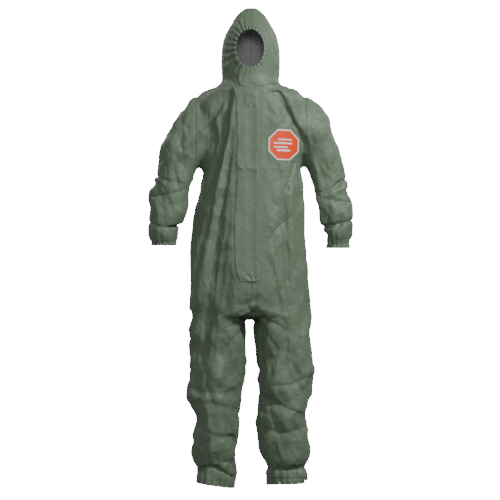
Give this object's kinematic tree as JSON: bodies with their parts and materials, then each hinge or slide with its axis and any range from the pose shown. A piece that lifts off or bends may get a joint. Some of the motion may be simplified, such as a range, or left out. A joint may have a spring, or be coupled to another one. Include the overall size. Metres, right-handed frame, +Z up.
{
  "type": "chemical protective suit",
  "caption": "Hooded one-piece protective coverall with elastic face opening, cuffs and ankles, front zip under a storm flap, chin flap and octagonal chest label.",
  "frame": {"origin": "centre of the neck seam, where the hood joins the body", "axes": "+X is the wearer's left, -Y is the front, +Z is up along the body"},
  "size_m": [0.783, 0.2923, 1.827],
  "materials": {
    "laminate": "matte coated laminate, crisp and lightly creased",
    "lining": "dark grey inner face of the laminate",
    "elastic": "knitted rubber elastic",
    "zip_tape": "woven polyester tape",
    "zip_teeth": "moulded acetal",
    "zip_metal": "black enamelled zinc",
    "adhesive_tape": "silicone paper over adhesive",
    "label_orange": "printed film",
    "label_white": "printed film",
    "size_label": "satin ribbon"
  },
  "bodies": {
    "torso": {"front_left": "laminate", "front_right": "laminate", "back_left": "laminate", "back_right": "laminate", "seat_left": "laminate", "seat_right": "laminate", "crotch_gusset": "laminate", "neck_band": "laminate", "zip_tape_left": "zip_tape", "zip_tape_right": "zip_tape", "zip_teeth_left": "zip_teeth", "zip_teeth_right": "zip_teeth", "zip_top_stops": "zip_teeth", "zip_bottom_stop": "zip_teeth", "inner_flap": "lining", "label_border": "label_white", "label_face": "label_orange", "label_bars": "label_white", "size_label": "size_label", "armhole_left": "laminate", "armhole_right": "laminate"},
    "hood": {"hood_left": "laminate", "hood_right": "laminate", "face_hem": "laminate", "face_elastic": "elastic"},
    "chin_flap": {"chin_flap": "laminate", "chin_flap_tape": "adhesive_tape"},
    "storm_flap": {"storm_flap": "laminate", "storm_flap_tape": "adhesive_tape"},
    "zip_slider": {"zip_slider": "zip_metal"},
    "zip_pull": {"zip_pull": "zip_metal"},
    "left_upper_arm": {"sleeve_left": "laminate", "elbow_left": "laminate"},
    "left_forearm": {"forearm_left": "laminate", "wrist_elastic_left": "elastic"},
    "left_thigh": {"thigh_front_left": "laminate", "thigh_back_left": "laminate", "knee_left": "laminate"},
    "left_shin": {"shin_front_left": "laminate", "shin_back_left": "laminate", "ankle_elastic_left": "elastic"},
    "right_upper_arm": {"sleeve_right": "laminate", "elbow_right": "laminate"},
    "right_forearm": {"forearm_right": "laminate", "wrist_elastic_right": "elastic"},
    "right_thigh": {"thigh_front_right": "laminate", "thigh_back_right": "laminate", "knee_right": "laminate"},
    "right_shin": {"shin_front_right": "laminate", "shin_back_right": "laminate", "ankle_elastic_right": "elastic"}
  },
  "joints": [
    {"name": "hood_tilt", "type": "hinge", "parent": "torso", "child": "hood", "pos_m": [0, 0, 0.017], "axis": [1, 0, 0], "range_deg": [-15, 12], "deforming": ["neck_band"]},
    {"name": "left_shoulder", "type": "hinge", "parent": "torso", "child": "left_upper_arm", "pos_m": [0.203, 0, -0.149], "axis": [0, -1, 0], "range_deg": [-5, 60], "deforming": ["armhole_left"]},
    {"name": "left_elbow", "type": "hinge", "parent": "left_upper_arm", "child": "left_forearm", "pos_m": [0.31457, 0, -0.38827], "axis": [-1, 0, 0], "range_deg": [0, 75], "deforming": ["elbow_left"]},
    {"name": "left_hip", "type": "hinge", "parent": "torso", "child": "left_thigh", "pos_m": [0.119, 0, -0.815], "axis": [-1, 0, 0], "range_deg": [-15, 45], "deforming": ["seat_left", "crotch_gusset"]},
    {"name": "left_knee", "type": "hinge", "parent": "left_thigh", "child": "left_shin", "pos_m": [0.13, 0, -1.075], "axis": [1, 0, 0], "range_deg": [0, 70], "deforming": ["knee_left"]},
    {"name": "right_shoulder", "type": "hinge", "parent": "torso", "child": "right_upper_arm", "pos_m": [-0.203, 0, -0.149], "axis": [0, 1, 0], "range_deg": [-5, 60], "deforming": ["armhole_right"]},
    {"name": "right_elbow", "type": "hinge", "parent": "right_upper_arm", "child": "right_forearm", "pos_m": [-0.31457, 0, -0.38827], "axis": [-1, 0, 0], "range_deg": [0, 75], "deforming": ["elbow_right"]},
    {"name": "right_hip", "type": "hinge", "parent": "torso", "child": "right_thigh", "pos_m": [-0.119, 0, -0.815], "axis": [-1, 0, 0], "range_deg": [-15, 45], "deforming": ["seat_right"]},
    {"name": "right_knee", "type": "hinge", "parent": "right_thigh", "child": "right_shin", "pos_m": [-0.13, 0, -1.075], "axis": [1, 0, 0], "range_deg": [0, 70], "deforming": ["knee_right"]},
    {"name": "storm_flap_swing", "type": "hinge", "parent": "torso", "child": "storm_flap", "pos_m": [0.032, -0.13934, -0.3806], "axis": [0, 0.0366, 0.9993], "range_deg": [0, 130]},
    {"name": "chin_flap_swing", "type": "hinge", "parent": "hood", "child": "chin_flap", "pos_m": [0.1033, -0.06301, 0.039], "axis": [0, 0, 1], "range_deg": [0, 110]},
    {"name": "zip_slide", "type": "slide", "parent": "torso", "child": "zip_slider", "axis": [0, -0.0366, -0.9993], "range_m": [0, 0.666]},
    {"name": "zip_pull_swing", "type": "hinge", "parent": "zip_slider", "child": "zip_pull", "pos_m": [0, -0.12402, -0.04194], "axis": [-1, 0, 0], "range_deg": [0, 4]}
  ]
}
